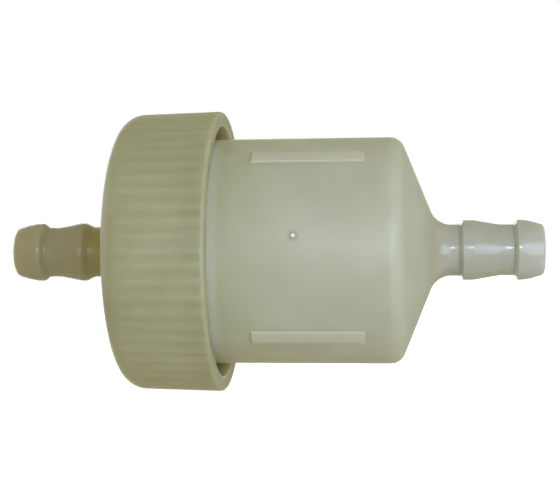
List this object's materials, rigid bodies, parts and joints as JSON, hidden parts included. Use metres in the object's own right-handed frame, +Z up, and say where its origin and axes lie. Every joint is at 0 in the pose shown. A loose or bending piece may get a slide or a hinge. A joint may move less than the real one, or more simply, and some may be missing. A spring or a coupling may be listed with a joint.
{
  "type": "fuel filter",
  "caption": "In-line fuel filter: translucent bowl with cone shoulder, ribbed screw cap, pleated paper element inside, hose barb at each end.",
  "frame": {"origin": "on the flow axis, half way between the tips of the two hose barbs", "axes": "+X along the flow axis from inlet to outlet, +Z up, -Y towards the viewer"},
  "size_m": [0.0626, 0.0332, 0.0332],
  "materials": {
    "bowl_nylon": "moulded natural nylon, translucent, soft gloss",
    "cap_nylon": "moulded natural nylon, thicker and yellower, grip ribs",
    "nitrile": "moulded nitrile rubber, dull",
    "disc_plastic": "moulded nylon, opaque off-white",
    "core_plastic": "moulded nylon, natural",
    "filter_paper": "resin-cured filter paper, fibrous",
    "strip_metal": "rolled tinned steel strip",
    "bond_glue": "cured plastisol glue"
  },
  "bodies": {
    "bowl": {"bowl": "bowl_nylon"},
    "gasket": {"cap_gasket": "nitrile"},
    "cap": {"inlet_cap": "cap_nylon"},
    "element": {"closed_end_disc": "disc_plastic", "outlet_end_disc": "disc_plastic", "spigot_seal": "nitrile", "core_tube": "core_plastic", "pleated_media": "filter_paper", "seam_strip": "strip_metal", "closed_bond_bead": "bond_glue", "outlet_bond_bead": "bond_glue"}
  },
  "joints": [
    {"name": "cap_travel", "type": "slide", "parent": "bowl", "child": "gasket", "axis": [-1, 0, 0], "range_m": [0, 0.036]},
    {"name": "cap_turn", "type": "hinge", "parent": "gasket", "child": "cap", "pos_m": [0, 0, 0], "axis": [-1, 0, 0], "range_deg": [0, 2160]},
    {"name": "element_draw", "type": "slide", "parent": "bowl", "child": "element", "axis": [-1, 0, 0], "range_m": [0, 0.032]}
  ],
  "couplings": [
    {"joint": "cap_travel", "follows": "cap_turn", "m_per_rad": 0.00095493},
    {"joint": "element_draw", "follows": "cap_turn", "m_per_rad": 0.00084883}
  ]
}
